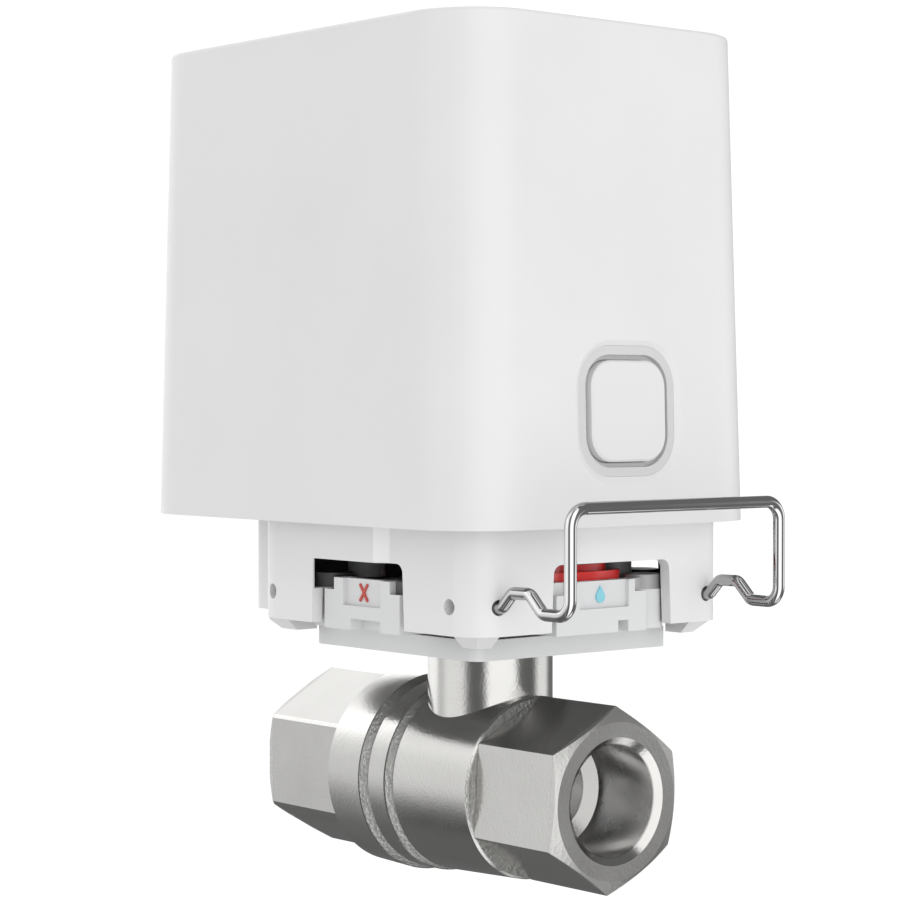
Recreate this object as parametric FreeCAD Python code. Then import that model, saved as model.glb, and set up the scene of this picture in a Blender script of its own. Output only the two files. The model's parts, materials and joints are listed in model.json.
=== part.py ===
import FreeCAD, Part
import os
import math

V = FreeCAD.Vector
os.makedirs("parts", exist_ok=True)

# ---------------------------------------------------------------- driving dimensions (mm)
# frame: +Z up along the stem, -Y out of the outlet port and the button face,
# origin where the pipe axis crosses the stem axis (ball centre)

# valve
HEX_AF = 27.0            # front hexagon across flats
HEX_ROT = -3.54          # front hexagon clocking about the pipe axis, degrees
HEX_END_Y = -31.75
HEX_SHOULDER_Y = -12.0
HEX_END_R = 13.05        # end-face circle
PORT_R = 9.3             # minor radius of the G1/2 threads
PORT_CHAMFER_R = 10.54
PORT_DEPTH_Y = -17.5
PORT_CHAMFER_L = 1.05
WATER_R = 7.0            # passage in the body and the seats
BALL_R = 11.5
BALL_BORE_R = 7.0
SEAT_R = 7.45
CHAMBER_R = 12.3
CHAMBER_FRONT_Y = -10.4
REAR_BORE_R = 14.2
REAR_BORE_Y = 6.2
RING_R = 16.75
RING_Y0, RING_Y1 = 8.4, 13.1     # the front chamfer of the ring starts GROOVE deeper and further forward
COLLAR_R, COLLAR_R1 = 17.4, 17.1  # front and rear of the collar
COLLAR_Y0, COLLAR_Y1 = 13.5, 24.2
REAR_AF = 28.0
REAR_TURN_R = 15.95       # the corners of the rear hexagon are turned to this radius
REAR_END_Y = 45.6
NECK_R = 10.83
NECK_TOP_Z = 23.5
SPIGOT_R = 8.8
SPIGOT_TOP_Z = 27.4
STEM_R = 4.0
STEM_FIT = 0.05
PACK_R = 6.5

# holder plate that carries the head
PLATE_HALF = 21.7
PLATE_Z0, PLATE_Z1 = 23.5, 26.9
ARM_HALF = 10.1
ARM_TIP = 28.2
ARM_Z0, ARM_Z1 = 27.4, 34.0
TAB_HALF = 7.5
TAB_TOP_Z = 36.0
LABEL_HALF = 5.0
LUG_R0, LUG_R1 = 25.75, 28.0      # rounded lugs behind the tab shoulders, about the stem axis
LUG_Z1 = 36.0
LUG_HALF_SIDE, LUG_HALF_FRONT = 10.8, 11.9
LABEL_Z0 = 31.5
PILLAR_R, PILLAR_Z1 = 3.3, 36.4     # round pillars beside three of the arms, behind the skirt wall

# chassis skirt
SK_FRONT_HX = 28.4
SK_FRONT_Y = -29.3
SK_FRONT_R = 5.9
SK_HX = 29.9
SK_REAR_Y = 29.9
SK_R = 8.6
SK_RAMP_Y0, SK_RAMP_Y1 = -7.7, -5.3
SK_WALL = 2.2
SK_Z0 = 28.2
FLOOR_Z0, FLOOR_Z1 = 45.9, 48.3
WIN_TOP_Z = 39.1
WIN_X_HALF = 12.4        # window in the front wall
WIN_Y_HALF = 11.1        # windows in the side walls
TONGUE_HX, TONGUE_Y = 20.9, 41.5
FOOT_Z = 26.0

# cap
CAP_Z0, CAP_Z1 = 45.3, 127.5
CAP_B = (-34.3, 34.3, -34.2, 59.9)       # bottom rectangle
CAP_T = (-33.0, 33.0, -32.05, 57.97)     # top rectangle
CAP_R = 13.0
CAP_WALL = 2.2
CAP_ROOF = 2.5

# button
BTN_X, BTN_Z = 0.8, 64.0
BTN_W, BTN_H, BTN_R = 16.5, 16.5, 4.4
BTN_FACE_Y = -33.95
BTN_GAP = 0.92           # groove round the button pad
BTN_RING = 1.5           # width of the soft ring round the groove
BTN_TRAVEL = 0.8

# release clip
WIRE_R = 1.0
CLIP_X = 23.3
CLIP_Z = 32.85
CLIP_HANDLE_Y = -45.9
CLIP_TOP_Z = 49.1
CLIP_HOLE_R = 1.3

# drive train
GEAR_M1, OUT_Z, IDL_P = 0.8, 48, 12
GEAR_M2, IDL_G, MOT_Z = 0.6, 36, 12
C1 = GEAR_M1 * (OUT_Z + IDL_P) / 2.0      # 24.0
C2 = GEAR_M2 * (IDL_G + MOT_Z) / 2.0      # 14.4
IDL_X = 14.0
IDL_Y = math.sqrt(C1 * C1 - IDL_X * IDL_X)
MOT_X, MOT_Y = IDL_X - C2, IDL_Y
OUT_GZ0, OUT_GZ1 = 52.0, 57.0
ST2_Z0, ST2_Z1 = 59.0, 64.0
UP_Z0, UP_Z1 = 66.0, 68.5
COUP_R = 7.0
SHAFT_R = 5.0


# ---------------------------------------------------------------- helpers
def box(x0, x1, y0, y1, z0, z1):
    return Part.makeBox(x1 - x0, y1 - y0, z1 - z0, V(x0, y0, z0))


def cz(r, z0, z1, x=0.0, y=0.0):
    return Part.makeCylinder(r, z1 - z0, V(x, y, z0), V(0, 0, 1))


def cy(r, y0, y1, x=0.0, z=0.0):
    return Part.makeCylinder(r, y1 - y0, V(x, y0, z), V(0, 1, 0))


def cx(r, x0, x1, y=0.0, z=0.0):
    return Part.makeCylinder(r, x1 - x0, V(x0, y, z), V(1, 0, 0))


def rrect(x0, x1, y0, y1, r, z):
    c = math.sqrt(0.5) * r
    e = [Part.makeLine(V(x0 + r, y0, z), V(x1 - r, y0, z)),
         Part.Arc(V(x1 - r, y0, z), V(x1 - r + c, y0 + r - c, z), V(x1, y0 + r, z)).toShape(),
         Part.makeLine(V(x1, y0 + r, z), V(x1, y1 - r, z)),
         Part.Arc(V(x1, y1 - r, z), V(x1 - r + c, y1 - r + c, z), V(x1 - r, y1, z)).toShape(),
         Part.makeLine(V(x1 - r, y1, z), V(x0 + r, y1, z)),
         Part.Arc(V(x0 + r, y1, z), V(x0 + r - c, y1 - r + c, z), V(x0, y1 - r, z)).toShape(),
         Part.makeLine(V(x0, y1 - r, z), V(x0, y0 + r, z)),
         Part.Arc(V(x0, y0 + r, z), V(x0 + r - c, y0 + r - c, z), V(x0 + r, y0, z)).toShape()]
    return Part.Wire(e)


def rbox(x0, x1, y0, y1, r, z0, z1):
    return Part.Face(rrect(x0, x1, y0, y1, r, z0)).extrude(V(0, 0, z1 - z0))


def rrect_xz(xc, zc, w, h, r, y):
    m = rrect(-w / 2.0, w / 2.0, -h / 2.0, h / 2.0, r, 0.0)
    m.rotate(V(0, 0, 0), V(1, 0, 0), 90)
    m.translate(V(xc, y, zc))
    return m


def rbox_xz(xc, zc, w, h, r, y0, y1):
    return Part.Face(rrect_xz(xc, zc, w, h, r, y0)).extrude(V(0, y1 - y0, 0))


def poly(pts):
    p = [V(*q) for q in pts]
    return Part.Face(Part.makePolygon(p + [p[0]]))


def rev_y(profile):
    """profile: list of (y, r), revolved about the pipe axis"""
    return poly([(r, y, 0.0) for (y, r) in profile]).revolve(V(0, 0, 0), V(0, 1, 0), 360)


def rev_z(profile, x=0.0, y=0.0):
    """profile: list of (r, z), revolved about a vertical axis"""
    s = poly([(r, 0.0, z) for (r, z) in profile]).revolve(V(0, 0, 0), V(0, 0, 1), 360)
    s.translate(V(x, y, 0))
    return s


def hex_y(af, y0, y1, rot):
    R = af / math.sqrt(3.0)
    pts = []
    for i in range(6):
        a = math.radians(90.0 + 60.0 * i + rot)
        pts.append((R * math.cos(a), y0, R * math.sin(a)))
    return poly(pts).extrude(V(0, y1 - y0, 0))


def hex_z(af, z0, z1, x=0.0, y=0.0):
    R = af / math.sqrt(3.0)
    pts = [(x + R * math.cos(math.radians(60.0 * i)), y + R * math.sin(math.radians(60.0 * i)), z0) for i in range(6)]
    return poly(pts).extrude(V(0, 0, z1 - z0))


def fuse(parts):
    s = parts[0]
    for p in parts[1:]:
        s = s.fuse(p)
    return s.removeSplitter()


def cut(s, tools):
    for t in tools:
        s = s.cut(t)
    return s


def torus_z(R, r, z, x=0.0, y=0.0):
    return Part.makeTorus(R, r, V(x, y, z), V(0, 0, 1))


def gear(m, z, h, x, y, z0, phase, bore, lash, add=0.75, ded=0.95):
    rp = m * z / 2.0
    ra, rf = rp + add * m, rp - ded * m
    al = math.radians(20.0)
    rb = rp * math.cos(al)
    half = math.pi / (2.0 * z) - lash / (2.0 * rp)
    inv_a = math.tan(al) - al

    def th(r):
        ph = math.acos(min(1.0, rb / r))
        return half + inv_a - (math.tan(ph) - ph)

    r0 = max(rb, rf) + 1e-4
    n = 5
    rs = [r0 + (ra - r0) * i / (n - 1) for i in range(n)]
    edges = []

    def pt(r, a):
        return V(x + r * math.cos(a), y + r * math.sin(a), z0)

    for i in range(z):
        c = phase + 2.0 * math.pi * i / z
        cn = phase + 2.0 * math.pi * (i + 1) / z
        up = [pt(r, c - th(r)) for r in rs]
        dn = [pt(r, c + th(r)) for r in reversed(rs)]
        a0, a1 = c - th(r0), c + th(r0)
        if rf < rb:
            edges.append(Part.makeLine(pt(rf, a0), up[0]))
        bs = Part.BSplineCurve()
        bs.interpolate(up)
        edges.append(bs.toShape())
        edges.append(Part.makeLine(up[-1], dn[0]))
        bs = Part.BSplineCurve()
        bs.interpolate(dn)
        edges.append(bs.toShape())
        if rf < rb:
            edges.append(Part.makeLine(dn[-1], pt(rf, a1)))
            edges.append(Part.makeLine(pt(rf, a1), pt(rf, cn - th(r0))))
        else:
            edges.append(Part.makeLine(dn[-1], pt(r0, cn - th(r0))))
    w = Part.Wire(edges)
    s = Part.Face(w).extrude(V(0, 0, h))
    if bore:
        s = s.cut(cz(bore, z0 - 1, z0 + h + 1, x, y))
    return s


def fillet_path(pts, radii):
    P = [V(*p) for p in pts]
    edges = []
    cur = P[0]
    for i in range(1, len(P) - 1):
        a = (P[i - 1] - P[i]).normalize()
        b = (P[i + 1] - P[i]).normalize()
        ang = a.getAngle(b)
        r = radii[i - 1]
        t = r / math.tan(ang / 2.0)
        p1 = P[i] + a * t
        p2 = P[i] + b * t
        bis = (a + b).normalize()
        ctr = P[i] + bis * (r / math.sin(ang / 2.0))
        mid = ctr - bis * r
        edges.append(Part.makeLine(cur, p1))
        edges.append(Part.Arc(p1, mid, p2).toShape())
        cur = p2
    edges.append(Part.makeLine(cur, P[-1]))
    return Part.Wire(edges)


NODES = []


def out(name, s):
    if s.ShapeType != "Solid":
        sol = s.Solids
        s = sol[0] if len(sol) == 1 else Part.makeCompound(sol)
    NODES.append(name)
    s.exportStep("parts/%s.step" % name)
    ok = all(q.isValid() and q.isClosed() for q in (s.Solids or [s]))
    print("%-22s solids %d valid %s vol %.1f" % (name, len(s.Solids), ok, s.Volume))


# ---------------------------------------------------------------- valve body
hexs = hex_y(HEX_AF, HEX_END_Y, HEX_SHOULDER_Y, HEX_ROT)
Rv = HEX_AF / math.sqrt(3.0)
lim = rev_y([(HEX_END_Y, 0), (HEX_END_Y, HEX_END_R), (HEX_END_Y + 1.3, Rv + 0.15), (HEX_SHOULDER_Y, Rv + 0.15), (HEX_SHOULDER_Y, 0)])
hexs = hexs.common(lim)
trunk = rev_y([(HEX_SHOULDER_Y, 0), (HEX_SHOULDER_Y, 15.1), (HEX_SHOULDER_Y + 0.45, 15.55), (6.55, 16.3), (6.9, 15.95), (6.9, 15.2), (7.1, 15.2),
               (RING_Y0, RING_R - 0.2), (RING_Y0 + 0.25, RING_R), (RING_Y1 - 0.25, RING_R), (RING_Y1, RING_R - 0.25), (RING_Y1, 0)])
neck = rev_z([(0, 3.0), (NECK_R, 3.0), (NECK_R, NECK_TOP_Z), (SPIGOT_R, NECK_TOP_Z), (SPIGOT_R, SPIGOT_TOP_Z - 0.5), (SPIGOT_R - 0.5, SPIGOT_TOP_Z), (0, SPIGOT_TOP_Z)])
body = fuse([hexs, trunk, neck])
front_bore = rev_y([(HEX_END_Y - 1, 0), (HEX_END_Y - 1, PORT_CHAMFER_R), (HEX_END_Y, PORT_CHAMFER_R), (HEX_END_Y + PORT_CHAMFER_L, PORT_R),
                    (PORT_DEPTH_Y, PORT_R), (PORT_DEPTH_Y + (PORT_R - WATER_R) * 0.577, WATER_R), (CHAMBER_FRONT_Y, WATER_R), (CHAMBER_FRONT_Y, CHAMBER_R),
                    (REAR_BORE_Y, CHAMBER_R), (REAR_BORE_Y, REAR_BORE_R), (RING_Y1 + 1, REAR_BORE_R), (RING_Y1 + 1, 0)])
stem_bore = rev_z([(0, 9.0), (5.6, 9.0), (5.6, 14.5), (STEM_R + STEM_FIT, 14.5), (STEM_R + STEM_FIT, 20.0), (PACK_R, 20.0), (PACK_R, 28.5), (0, 28.5)])
valve_body = cut(body, [front_bore, stem_bore])
out("valve_body", valve_body)

# ---------------------------------------------------------------- end adapter (screwed into the rear of the body)
rear = hex_y(REAR_AF, COLLAR_Y1, REAR_END_Y, 0.0)
Rr = REAR_AF / math.sqrt(3.0)
rlim = rev_y([(COLLAR_Y1, 0), (COLLAR_Y1, REAR_TURN_R), (REAR_END_Y - 0.9, REAR_TURN_R), (REAR_END_Y, REAR_TURN_R - 1.6), (REAR_END_Y, 0)])
rear = rear.common(rlim)
collar = rev_y([(REAR_BORE_Y + 0.1, 0), (REAR_BORE_Y + 0.1, REAR_BORE_R), (COLLAR_Y0, REAR_BORE_R), (COLLAR_Y0, COLLAR_R - 1.3), (COLLAR_Y0 + 1.2, COLLAR_R - 0.15), (COLLAR_Y0 + 1.4, COLLAR_R),
                (COLLAR_Y1 - 0.35, COLLAR_R1), (COLLAR_Y1, COLLAR_R1 - 0.35), (COLLAR_Y1, 0)])
adapter = fuse([collar, rear])
abore = rev_y([(2.0, 0), (2.0, CHAMBER_R), (-CHAMBER_FRONT_Y, CHAMBER_R), (-CHAMBER_FRONT_Y, WATER_R), (REAR_END_Y - 13.0 - (PORT_R - WATER_R) * 0.577, WATER_R),
               (REAR_END_Y - 13.0, PORT_R), (REAR_END_Y - PORT_CHAMFER_L, PORT_R), (REAR_END_Y, PORT_CHAMFER_R), (REAR_END_Y + 1, PORT_CHAMFER_R), (REAR_END_Y + 1, 0)])
end_adapter = adapter.cut(abore)
out("end_adapter", end_adapter)

# gasket in the slot between body ring and collar
out("body_gasket", rev_y([(RING_Y1, REAR_BORE_R), (RING_Y1, 15.7), (COLLAR_Y0, 15.7), (COLLAR_Y0, REAR_BORE_R)]))

# ---------------------------------------------------------------- ball, seats, stem
ball = Part.makeSphere(BALL_R).cut(cy(BALL_BORE_R, -13, 13)).cut(box(-2.1, 2.1, -8, 8, 8.6, 13))
out("ball", ball)
yb = math.sqrt(BALL_R ** 2 - BALL_BORE_R ** 2)


def seat(sign):
    y_out = 10.35
    s = rev_y([(5.4, SEAT_R), (5.4, 12.25), (y_out, 12.25), (y_out, SEAT_R)]).cut(Part.makeSphere(BALL_R + 0.05))
    if sign < 0:
        s = s.mirror(V(0, 0, 0), V(0, 1, 0))
    return s


out("seat_outlet", seat(-1))
out("seat_inlet", seat(1))

stem = rev_z([(0, 12.6), (5.5, 12.6), (5.5, 14.3), (STEM_R, 14.3), (STEM_R, 31.2), (0, 31.2)])
tang = box(-2.0, 2.0, -4.8, 4.8, 8.9, 12.6).common(cz(5.4, 8, 13))
square = box(-2.8, 2.8, -2.8, 2.8, 31.2, 40.0).common(rev_z([(0, 31.0), (3.9, 31.0), (3.9, 39.4), (3.3, 40.0), (0, 40.0)]))
out("stem", fuse([stem, tang, square]))


def oring(z):
    return rev_z([(4.10, z - 0.5), (4.5, z - 0.95), (6.0, z - 0.95), (6.45, z - 0.5), (6.45, z + 0.5), (6.0, z + 0.95), (4.5, z + 0.95), (4.10, z + 0.5)])


out("stem_seal_lower", oring(21.1))
out("stem_seal_upper", oring(23.3))
nut = rev_z([(STEM_R + STEM_FIT, 24.4), (PACK_R, 24.4), (PACK_R, SPIGOT_TOP_Z), (STEM_R + STEM_FIT, SPIGOT_TOP_Z)])
nut_hex = hex_z(14.0, SPIGOT_TOP_Z, 30.9).cut(cz(STEM_R + STEM_FIT, 27, 32))
nut_hex = nut_hex.common(rev_z([(0, 27), (8.2, 27), (8.2, 30.2), (7.2, 30.9), (0, 30.9)]))
out("packing_nut", fuse([nut, nut_hex]))

# ---------------------------------------------------------------- holder plate
hp = rbox(-PLATE_HALF, PLATE_HALF, -PLATE_HALF, PLATE_HALF, 2.0, PLATE_Z0, PLATE_Z1)
lower = box(-18.5, 18.5, -ARM_HALF, ARM_HALF, PLATE_Z1, ARM_Z0 + 1.6).fuse(box(-ARM_HALF, ARM_HALF, -18.5, 18.5, PLATE_Z1, ARM_Z0 + 1.6))
arms = []


def arm(deg):
    tip = ARM_TIP if deg != 90 else SK_REAR_Y - SK_WALL - 0.4      # the rear wall has no window
    a = box(13.5, tip, -ARM_HALF, ARM_HALF, ARM_Z0, ARM_Z0 + 2.0)
    wall = box(21.2, tip, -ARM_HALF, ARM_HALF, ARM_Z0, ARM_Z1)
    s = fuse([a, wall])
    if deg != 90:
        s = s.fuse(box(26.2, tip, -TAB_HALF, TAB_HALF, ARM_Z1, TAB_TOP_Z)).removeSplitter()
        s = s.cut(box(tip - 0.8, tip + 1, -LABEL_HALF, LABEL_HALF, LABEL_Z0, TAB_TOP_Z + 1))
        # rounded lugs behind the shoulders of the tab
        lh = LUG_HALF_FRONT if deg == 270 else LUG_HALF_SIDE
        lug = cz(LUG_R1, ARM_Z1 - 0.15, LUG_Z1).cut(cz(LUG_R0, ARM_Z1 - 1, LUG_Z1 + 1)).common(box(20, 30, -lh, lh, ARM_Z1 - 1, LUG_Z1 + 1))
        if lh > ARM_HALF:
            lug = lug.fuse(cz(LUG_R1, ARM_Z1 - 1.6, ARM_Z1 - 0.15).cut(cz(LUG_R0, ARM_Z1 - 2, LUG_Z1 + 1)).common(box(20, 30, -lh + 0.3, lh - 0.3, ARM_Z1 - 3, LUG_Z1 + 1)))
        s = fuse([s, lug])
        s = s.cut(box(tip - 0.8, tip + 1, -LABEL_HALF, LABEL_HALF + (1.1 if deg == 270 else 0.0), LABEL_Z0, TAB_TOP_Z + 1))
    s.rotate(V(0, 0, 0), V(0, 0, 1), deg)
    return s


for dg in (0, 90, 180, 270):
    arms.append(arm(dg))
holder = fuse([hp, lower] + arms)
for (px, py) in ((13.9, -23.5), (-23.5, 13.9), (22.4, -13.9)):
    along_x = abs(px) > abs(py)
    if along_x:
        sy = 1 if py > 0 else -1
        web = box(px - 2.2, px + 2.2, min(sy * 9.8, py), max(sy * 9.8, py), ARM_Z0, ARM_Z1)
    else:
        web = box(9.8, px, py - 2.2, py + 2.2, ARM_Z0, ARM_Z1)
    holder = holder.fuse(web).fuse(cz(PILLAR_R, ARM_Z0, PILLAR_Z1, px, py))
# bore over the spigot and the packing nut
holder = holder.cut(cz(SPIGOT_R + 0.02, PLATE_Z0 - 1, PLATE_Z1 + 0.001)).cut(cz(12.5, PLATE_Z1, 40))
# bottom notches under the two labels
holder = holder.cut(box(-ARM_TIP - 1, -25.6, -5.0, 3.0, 26.0, 29.3))
holder = holder.cut(box(3.7, 6.0, -ARM_TIP - 1, -25.6, 26.0, 29.3))
# clip grooves in both directions
for sx in (-1, 1):
    holder = holder.cut(cy(WIRE_R + 0.09, -30, 30, sx * CLIP_X, CLIP_Z))
    holder = holder.cut(cx(WIRE_R + 0.09, -30, 30, sx * CLIP_X, CLIP_Z))
out("holder_plate", holder)

# snap ring that keeps the holder on the spigot
ring = rev_z([(SPIGOT_R + 0.02, PLATE_Z1), (SPIGOT_R + 0.02, PLATE_Z1 + 0.3), (SPIGOT_R + 2.6, PLATE_Z1 + 0.9), (SPIGOT_R + 2.6, PLATE_Z1)])
ring = ring.cut(box(-1.5, 1.5, 5, 15, PLATE_Z1 - 1, PLATE_Z1 + 3))
out("holder_ring", ring)

# label marks lying in the tab recesses
lx = -(ARM_TIP - 0.8)
bar = box(lx - 0.3, lx, -0.2, 0.2, -1.74, 1.74)
b1 = bar.copy()
b1.rotate(V(lx, 0, 0), V(1, 0, 0), 36)
b2 = bar.copy()
b2.rotate(V(lx, 0, 0), V(1, 0, 0), -36)
xm = fuse([b1, b2])
xm.translate(V(0, 0.2, 33.75))
out("closed_label", xm)
# drop: circle below, point above
dr, dzc, dzt = 0.97, 33.36, 35.2
t_len = dzt - dzc
ta = math.acos(dr / t_len)
pL = (-dr * math.sin(ta), dzc + dr * math.cos(ta))
pR = (dr * math.sin(ta), dzc + dr * math.cos(ta))
yf = lx
dx0 = 0.2
w = Part.Wire([Part.makeLine(V(dx0, yf, dzt), V(dx0 + pR[0], yf, pR[1])),
               Part.Arc(V(dx0 + pR[0], yf, pR[1]), V(dx0, yf, dzc - dr), V(dx0 + pL[0], yf, pL[1])).toShape(),
               Part.makeLine(V(dx0 + pL[0], yf, pL[1]), V(dx0, yf, dzt))])
drop = Part.Face(w).extrude(V(0, -0.3, 0))
out("open_label", drop)

# ---------------------------------------------------------------- chassis


def skirt_outline(off, z):
    hf, yf_, rf_ = SK_FRONT_HX - off, SK_FRONT_Y + off, SK_FRONT_R - off
    hr, yr, rr = SK_HX - off, SK_REAR_Y - off, SK_R - off
    c = math.sqrt(0.5)
    ya, yb_ = SK_RAMP_Y0 - off * 0.3, SK_RAMP_Y1 - off * 0.3
    e = [Part.makeLine(V(-hf + rf_, yf_, z), V(hf - rf_, yf_, z)),
         Part.Arc(V(hf - rf_, yf_, z), V(hf - rf_ + rf_ * c, yf_ + rf_ - rf_ * c, z), V(hf, yf_ + rf_, z)).toShape(),
         Part.makeLine(V(hf, yf_ + rf_, z), V(hf, ya, z)),
         Part.makeLine(V(hf, ya, z), V(hr, yb_, z)),
         Part.makeLine(V(hr, yb_, z), V(hr, yr - rr, z)),
         Part.Arc(V(hr, yr - rr, z), V(hr - rr + rr * c, yr - rr + rr * c, z), V(hr - rr, yr, z)).toShape(),
         Part.makeLine(V(hr - rr, yr, z), V(-hr + rr, yr, z)),
         Part.Arc(V(-hr + rr, yr, z), V(-hr + rr - rr * c, yr - rr + rr * c, z), V(-hr, yr - rr, z)).toShape(),
         Part.makeLine(V(-hr, yr - rr, z), V(-hr, yb_, z)),
         Part.makeLine(V(-hr, yb_, z), V(-hf, ya, z)),
         Part.makeLine(V(-hf, ya, z), V(-hf, yf_ + rf_, z)),
         Part.Arc(V(-hf, yf_ + rf_, z), V(-hf + rf_ - rf_ * c, yf_ + rf_ - rf_ * c, z), V(-hf + rf_, yf_, z)).toShape()]
    return Part.Wire(e)


sk_out = Part.Face(skirt_outline(0.0, SK_Z0)).extrude(V(0, 0, FLOOR_Z0 + 0.5 - SK_Z0))
sk_in = Part.Face(skirt_outline(SK_WALL, SK_Z0 - 1)).extrude(V(0, 0, 50 - SK_Z0))
tongue = rbox(-TONGUE_HX, TONGUE_HX, 20.0, TONGUE_Y, 3.0, SK_Z0 + 0.2, FLOOR_Z0 + 0.5)
tongue_in = rbox(-TONGUE_HX + SK_WALL, TONGUE_HX - SK_WALL, 31.9, TONGUE_Y - SK_WALL, 1.4, SK_Z0 + 2.4, FLOOR_Z0)
FX0, FX1, FY0, FY1 = -31.6, 31.6, -31.2, 56.9
floor = rbox(FX0, FX1, FY0, FY1, 10.4, FLOOR_Z0, FLOOR_Z1)
walls = sk_out.cut(sk_in)
tong = tongue.cut(box(-40, 40, 10, 28.5, 20, 60)).cut(tongue_in)
chassis = fuse([walls, tong, floor])
# corner feet
for sx in (-1, 1):
    for sy in (-1, 1):
        xo = 27.9 if sy > 0 else 26.4
        yo = 27.9 if sy > 0 else 27.3
        xa, xb = sorted((sx * 21.35, sx * xo))
        ya, yb2 = sorted((sy * 21.35, sy * yo))
        blk = box(xa, xb, ya, yb2, SK_Z0, SK_Z0 + 7.0)
        xa2, xb2 = sorted((sx * 21.35, sx * (xo - 2.2)))
        ya2, yb3 = sorted((sy * 21.35, sy * (yo - 2.2)))
        w1 = Part.makePolygon([V(xa, ya, SK_Z0), V(xb, ya, SK_Z0), V(xb, yb2, SK_Z0), V(xa, yb2, SK_Z0), V(xa, ya, SK_Z0)])
        w0 = Part.makePolygon([V(xa2, ya2, FOOT_Z), V(xb2, ya2, FOOT_Z), V(xb2, yb3, FOOT_Z), V(xa2, yb3, FOOT_Z), V(xa2, ya2, FOOT_Z)])
        ft = Part.makeLoft([w0, w1], True, True)
        blk = fuse([blk, ft]).common(Part.Face(skirt_outline(0.2, FOOT_Z - 1)).extrude(V(0, 0, 30)))
        chassis = chassis.fuse(blk)
chassis = chassis.removeSplitter()


def win_cutter(half, depth0, depth1, deg):
    """window with rounded upper corners, slightly wider at the bottom; along +X before turning"""
    zt, zb, r = WIN_TOP_Z, SK_Z0 - 3.0, 1.6
    hb = half + 0.55
    e = [Part.makeLine(V(depth0, -hb, zb), V(depth0, hb, zb)),
         Part.makeLine(V(depth0, hb, zb), V(depth0, half, zt - r)),
         Part.Arc(V(depth0, half, zt - r), V(depth0, half - r * 0.293, zt - r * 0.293), V(depth0, half - r, zt)).toShape(),
         Part.makeLine(V(depth0, half - r, zt), V(depth0, -half + r, zt)),
         Part.Arc(V(depth0, -half + r, zt), V(depth0, -half + r * 0.293, zt - r * 0.293), V(depth0, -half, zt - r)).toShape(),
         Part.makeLine(V(depth0, -half, zt - r), V(depth0, -hb, zb))]
    s = Part.Face(Part.Wire(e)).extrude(V(depth1 - depth0, 0, 0))
    s.rotate(V(0, 0, 0), V(0, 0, 1), deg)
    return s


win_px = win_cutter(WIN_Y_HALF + 1.75, 25.0, 32.0, 0)         # the window away from the labels is longer at the front
win_px.translate(V(0, -1.75, 0))
win_f = win_cutter(WIN_X_HALF + 0.65, 25.5, 32.0, 270)
win_f.translate(V(1.35, 0, 0))
chassis = cut(chassis, [win_px, win_cutter(WIN_Y_HALF, 25.0, 32.0, 180), win_f])
for s1 in (-1, 1):      # square rear corner at the top of the side windows
    xa, xb = sorted((s1 * 25.0, s1 * 32.0))
    chassis = chassis.cut(box(xa, xb, WIN_Y_HALF - 1.8, WIN_Y_HALF + 0.03, WIN_TOP_Z - 1.8, WIN_TOP_Z))
# the rear jambs of the side windows are relieved on the inside above the tab shoulders
for s1 in (-1, 1):
    rel = poly([(s1 * (SK_HX - 0.3), WIN_Y_HALF - 1.0, ARM_Z1), (s1 * (SK_HX - 0.3), WIN_Y_HALF, ARM_Z1), (s1 * (SK_HX - SK_WALL - 0.2), WIN_Y_HALF + 2.8, ARM_Z1), (s1 * (SK_HX - SK_WALL - 0.2), WIN_Y_HALF - 1.0, ARM_Z1)]).extrude(V(0, 0, WIN_TOP_Z - ARM_Z1))
    chassis = chassis.cut(rel)
# clip holes
for s1 in (-1, 1):
    chassis = chassis.cut(cy(CLIP_HOLE_R, -32, 32, s1 * CLIP_X, CLIP_Z))
    chassis = chassis.cut(cx(CLIP_HOLE_R, -32, 32, s1 * (CLIP_X - 0.4), CLIP_Z))
# shaft bush seat, idler axle hole, post holes, boss screws, seal groove
BUSH_R = 8.6
chassis = chassis.cut(cz(BUSH_R, FLOOR_Z0 - 1, FLOOR_Z1 + 1))
chassis = chassis.fuse(cz(4.0, FLOOR_Z1 - 0.1, FLOOR_Z1 + 2.0, IDL_X, IDL_Y)).cut(cz(1.5, FLOOR_Z0 + 0.8, FLOOR_Z1 + 3, IDL_X, IDL_Y))
POSTS = [(24.5, -16.5), (-24.5, -16.5), (-24.5, 29.5), (27.0, 29.0)]
for (px, py) in POSTS:
    chassis = chassis.cut(cz(1.25, FLOOR_Z0 + 0.8, FLOOR_Z1 + 1, px, py))
BOSSES = [(25.6, -24.6), (-25.6, -24.6), (25.6, 50.3), (-25.6, 50.3)]
for (px, py) in BOSSES:
    chassis = chassis.cut(cz(1.35, FLOOR_Z0 - 1, FLOOR_Z1 + 1, px, py)).cut(cz(2.6, FLOOR_Z0 - 20 if py > 40 else FLOOR_Z0 - 0.1, FLOOR_Z0 + 1.3, px, py))
gr = rbox(FX0 - 2, FX1 + 2, FY0 - 2, FY1 + 2, 12.4, FLOOR_Z0 + 0.7, FLOOR_Z1 - 0.7).cut(rbox(FX0 + 1.1, FX1 - 1.1, FY0 + 1.1, FY1 - 1.1, 9.3, FLOOR_Z0, FLOOR_Z1))
chassis = chassis.cut(gr)
chassis = chassis.removeSplitter()
out("chassis", chassis)
seal = rbox(FX0 - 0.12, FX1 + 0.12, FY0 - 0.12, FY1 + 0.12, 10.5, FLOOR_Z0 + 0.75, FLOOR_Z1 - 0.75).cut(rbox(FX0 + 1.05, FX1 - 1.05, FY0 + 1.05, FY1 - 1.05, 9.35, FLOOR_Z0, FLOOR_Z1))
out("housing_seal", seal)
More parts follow.
